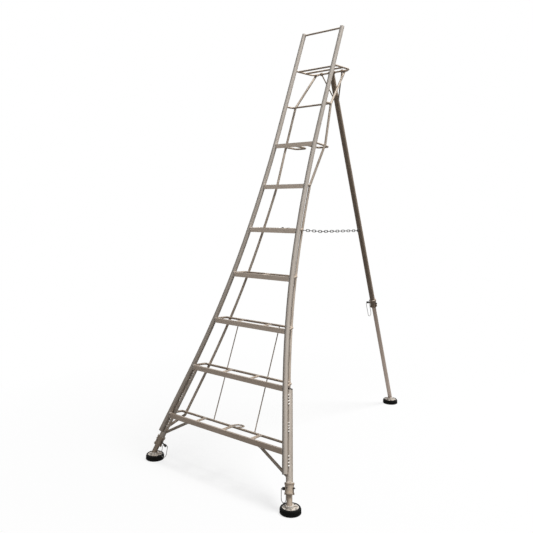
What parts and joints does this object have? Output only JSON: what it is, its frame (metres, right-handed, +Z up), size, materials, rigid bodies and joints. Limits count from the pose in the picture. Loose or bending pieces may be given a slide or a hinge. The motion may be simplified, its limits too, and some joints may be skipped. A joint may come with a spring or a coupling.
{
  "type": "orchard tripod ladder",
  "caption": "Aluminium orchard tripod ladder with flared stiles, plated treads, a small top platform, a chained folding rear leg and three pinned telescopic feet.",
  "frame": {"origin": "on the floor, midway between the line of the front feet and the rear foot, in the plane of symmetry", "axes": "+Z up, +Y from the climbing side towards the rear leg, +X to the climber's right"},
  "size_m": [1.1524, 2.0354, 2.7816],
  "materials": {
    "frame_metal": "satin mill finish",
    "leg_metal": "satin",
    "steel": "zinc plated",
    "plastic": "matt",
    "rubber": "matt"
  },
  "bodies": {
    "frame": {"stile_left": "frame_metal", "stile_right": "frame_metal", "stile_caps": "plastic", "handrail": "frame_metal", "platform_hoop": "frame_metal", "platform_bars": "frame_metal", "top_rung": "frame_metal", "tread_nose_1": "frame_metal", "tread_nose_2": "frame_metal", "tread_nose_3": "frame_metal", "tread_nose_4": "frame_metal", "tread_nose_5": "frame_metal", "tread_nose_6": "frame_metal", "tread_nose_7": "frame_metal", "tread_bar_1": "frame_metal", "tread_bar_2": "frame_metal", "tread_bar_3": "frame_metal", "tread_bar_4": "frame_metal", "tread_bar_5": "frame_metal", "tread_bar_6": "frame_metal", "tread_bar_7": "frame_metal", "tread_straps": "frame_metal", "rear_rail_left": "frame_metal", "rear_rail_right": "frame_metal", "tie_rods": "frame_metal", "foot_brace_left": "frame_metal", "foot_brace_right": "frame_metal", "leg_catch": "frame_metal", "leg_sleeve_left": "leg_metal", "leg_sleeve_right": "leg_metal", "leg_collar_left": "leg_metal", "leg_collar_right": "leg_metal", "chain_eye_front": "steel"},
    "front_leg_left": {"front_leg_left": "leg_metal", "leg_bush_left": "plastic", "foot_plate_left": "leg_metal", "foot_pad_left": "rubber"},
    "lock_pin_left": {"lock_pin_left": "steel"},
    "pin_bail_left": {"pin_bail_left": "steel"},
    "front_leg_right": {"front_leg_right": "leg_metal", "leg_bush_right": "plastic", "foot_plate_right": "leg_metal", "foot_pad_right": "rubber"},
    "lock_pin_right": {"lock_pin_right": "steel"},
    "pin_bail_right": {"pin_bail_right": "steel"},
    "rear_leg": {"rear_leg_tube": "frame_metal", "rear_leg_head": "frame_metal", "leg_stay_left": "frame_metal", "leg_stay_right": "frame_metal", "rear_leg_collar": "leg_metal", "chain_eye_rear": "steel"},
    "rear_leg_slide": {"rear_leg_slide": "leg_metal", "rear_leg_bush": "plastic", "foot_plate_rear": "leg_metal", "foot_pad_rear": "rubber"},
    "lock_pin_rear": {"lock_pin_rear": "steel"},
    "pin_bail_rear": {"pin_bail_rear": "steel"},
    "chain_front": {"chain_front": "steel"},
    "chain_rear": {"chain_rear": "steel"}
  },
  "joints": [
    {"name": "front_leg_left_slide", "type": "slide", "parent": "frame", "child": "front_leg_left", "axis": [-0.2775, -0.3599, -0.8908], "range_m": [0, 0.25]},
    {"name": "lock_pin_left_pull", "type": "slide", "parent": "front_leg_left", "child": "lock_pin_left", "axis": [0.9607, -0.104, -0.2573], "range_m": [0, 0.065]},
    {"name": "pin_bail_left_swing", "type": "hinge", "parent": "lock_pin_left", "child": "pin_bail_left", "pos_m": [-0.4435, -0.95024, 0.09057], "axis": [0, -0.9272, 0.3746], "range_deg": [-32, 95]},
    {"name": "front_leg_right_slide", "type": "slide", "parent": "frame", "child": "front_leg_right", "axis": [0.2775, -0.3599, -0.8908], "range_m": [0, 0.25]},
    {"name": "lock_pin_right_pull", "type": "slide", "parent": "front_leg_right", "child": "lock_pin_right", "axis": [-0.9607, -0.104, -0.2573], "range_m": [0, 0.065]},
    {"name": "pin_bail_right_swing", "type": "hinge", "parent": "lock_pin_right", "child": "pin_bail_right", "pos_m": [0.46656, -0.94775, 0.09674], "axis": [0, 0.9272, -0.3746], "range_deg": [-8, 110]},
    {"name": "rear_leg_fold", "type": "hinge", "parent": "frame", "child": "rear_leg", "pos_m": [0, 0.205, 2.48763], "axis": [-1, 0, 0], "range_deg": [0, 39.8]},
    {"name": "rear_leg_slide_out", "type": "slide", "parent": "rear_leg", "child": "rear_leg_slide", "axis": [0, 0.2957, -0.9553], "range_m": [0, 0.4]},
    {"name": "lock_pin_rear_pull", "type": "slide", "parent": "rear_leg_slide", "child": "lock_pin_rear", "axis": [-1, 0, 0], "range_m": [0, 0.065]},
    {"name": "pin_bail_rear_swing", "type": "hinge", "parent": "lock_pin_rear", "child": "pin_bail_rear", "pos_m": [-0.0485, 0.72988, 0.79201], "axis": [0, 0.9553, 0.2957], "range_deg": [-10, 110]},
    {"name": "chain_front_swing", "type": "hinge", "parent": "frame", "child": "chain_front", "pos_m": [0, -0.3655, 1.38251], "axis": [-1, 0, 0], "range_deg": [0, 105], "deforming": ["chain_front"]},
    {"name": "chain_rear_swing", "type": "hinge", "parent": "rear_leg", "child": "chain_rear", "pos_m": [0, 0.52753, 1.34595], "axis": [1, 0, 0], "range_deg": [0, 107.1], "deforming": ["chain_rear"]}
  ],
  "couplings": [
    {"joint": "chain_front_swing", "follows": "rear_leg_fold", "ratio": 2.625},
    {"joint": "chain_rear_swing", "follows": "rear_leg_fold", "ratio": 2.678}
  ]
}
